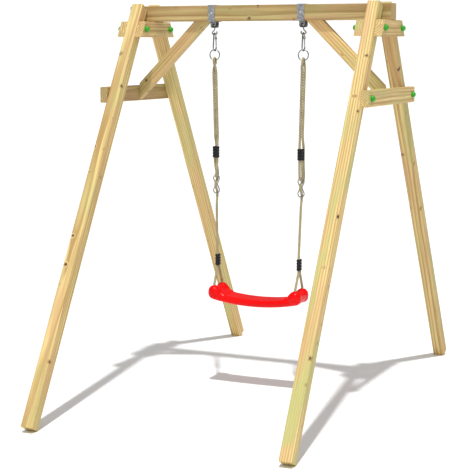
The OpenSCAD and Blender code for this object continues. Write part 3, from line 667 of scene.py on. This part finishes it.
# The board is one cross-section, bent along its length. The dish's points come last, so the outline
# crosses itself: the remesh leaves the board's top flat and a shallow V hollow under it
moulding = bmesh.new()
half_turn = math.asin(seat_x / seat_bend)
profile = []
for end, first in [(1, -90), (-1, 90)]:
    for turn in [math.radians(first + 22.5 * k) for k in range(9)]:
        profile.append((end * (board_half_y - seat_t / 2) + seat_t / 2 * math.cos(turn),
                        seat_t / 2 * (1 + math.sin(turn))))
profile += [(0.040, seat_t - 0.004), (0, seat_t - 0.006), (-0.040, seat_t - 0.004)]
profile_verts = [moulding.verts.new((0, y, seat_low + z)) for y, z in profile]
face = moulding.faces.new(profile_verts)
bend_centre = Vector((0, 0, seat_low + seat_bend))
bmesh.ops.rotate(moulding, verts=profile_verts, cent=bend_centre,
                 matrix=Matrix.Rotation(half_turn, 3, "Y"))
bmesh.ops.spin(moulding, geom=profile_verts + list(moulding.edges) + [face], cent=bend_centre,
               axis=(0, 1, 0), angle=-2 * half_turn, steps=24, use_duplicate=False)


def joined(shape, balls):
    """One closed skin round some balls, each given by its centre and radius."""
    verts = []
    for centre, radius in balls:
        made = bmesh.ops.create_uvsphere(shape, u_segments=32, v_segments=16, radius=radius,
                                         matrix=Matrix.Translation(centre))
        verts += made["verts"]
    hull = bmesh.ops.convex_hull(shape, input=verts)
    inside = [v for v in hull["geom_interior"] if isinstance(v, bmesh.types.BMVert)]
    bmesh.ops.delete(shape, geom=inside, context="VERTS")


hole_ys = (-hole_y, hole_y)
for sign in SIDES.values():
    x = sign * seat_x
    for y in hole_ys:
        joined(moulding, [((x, y, lobe_low), lobe_r), ((x, y, seat_top - lobe_r), lobe_r),
                          ((x - sign * 0.012, y, seat_top - lobe_r - 0.008), lobe_r - 0.002)])
    bridge = [((x + sign * 0.004, y, lobe_low + 0.007), lobe_r - 0.006) for y in hole_ys]
    joined(moulding, bridge)
    slope = [((x, y, lobe_low), lobe_r - 0.004) for y in hole_ys]
    slope += [((x - sign * 1.6 * lobe_r, y, lobe_low - lobe_r + seat_t / 2), seat_t / 2 - 0.002)
              for y in hole_ys]
    joined(moulding, slope)

cutter = bmesh.new()
for sign in SIDES.values():
    for y in hole_ys:
        bmesh.ops.create_cone(cutter, cap_ends=True, segments=32, radius1=hole_d / 2, radius2=hole_d / 2,
                              depth=0.3, matrix=Matrix.Translation((sign * seat_x, y, seat_top - 0.06)))
    bmesh.ops.create_cube(cutter, size=1, matrix=Matrix.Translation((sign * seat_x, 0, channel.z - 0.03))
                          @ Matrix.Diagonal((hole_d, 2 * hole_y, 0.06, 1)))


def plain(name, shape):
    """An unfinished object, for modifiers to work on."""
    mesh = bpy.data.meshes.new(name)
    shape.to_mesh(mesh)
    shape.free()
    made = bpy.data.objects.new(name, mesh)
    bpy.context.scene.collection.objects.link(made)
    return made


# The skins are melted into one, cut, and smoothed
raw_seat, raw_holes = plain("raw_seat", moulding), plain("raw_holes", cutter)
for kind, settings in [
    ("REMESH", {"mode": "VOXEL", "voxel_size": 0.003}),
    ("SMOOTH", {"factor": 0.5, "iterations": 14}),
    ("BOOLEAN", {"operation": "DIFFERENCE", "object": raw_holes, "solver": "EXACT"}),
    ("REMESH", {"mode": "VOXEL", "voxel_size": 0.0022}),
    ("SMOOTH", {"factor": 0.5, "iterations": 5}),
]:
    modifier = raw_seat.modifiers.new(kind.lower(), kind)
    for name, setting in settings.items():
        setattr(modifier, name, setting)
bpy.context.view_layer.update()
shape = bmesh.new()
shape.from_object(raw_seat, bpy.context.evaluated_depsgraph_get())
bpy.data.objects.remove(raw_seat)
bpy.data.objects.remove(raw_holes)
piece("swing_seat_look", shape, seat_red, "swing", ["swing_seat"], crease=60)

# ---- Floor and light ----
# A plain white floor under an even white sky. A high sun stands at the front right and throws
# the shadow back, and a wide, soft light comes from the front.

floor_paint = finish("white_floor", base_color=rgb(0.92, 0.92, 0.92), roughness=0.9)
ground = bmesh.new()
bmesh.ops.create_grid(ground, x_segments=1, y_segments=1, size=60)
floor = plain("floor", ground)
floor.data.materials.append(floor_paint)

for name, energy, angle, way in [
    ("sun", 2.8, 2.0, (-0.15, 0.33, -1.0)),
    ("fill", 0.30, 70, (-0.25, 1.0, -0.45)),
]:
    lamp = bpy.data.lights.new(name, "SUN")
    lamp.energy = energy
    lamp.angle = math.radians(angle)
    holder = bpy.data.objects.new(name, lamp)
    holder.rotation_euler = Vector(way).to_track_quat("-Z", "Y").to_euler()
    bpy.context.scene.collection.objects.link(holder)

sky = bpy.data.worlds.new("sky")
sky.use_nodes = True
back = sky.node_tree.nodes["Background"]
back.inputs["Color"].default_value = rgb(1, 1, 1)
# It is plain white to the camera, and dimmer in what glossy pieces mirror
seen = Value(sky.node_tree).node("ShaderNodeLightPath", output="Is Camera Ray")
mirrored = Value(sky.node_tree).node("ShaderNodeLightPath", output="Is Glossy Ray")
glow = 0.50 + seen * 0.6 - mirrored * 0.32
sky.node_tree.links.new(glow.socket, back.inputs["Strength"])
bpy.context.scene.world = sky
bpy.context.scene.view_settings.view_transform = "Standard"
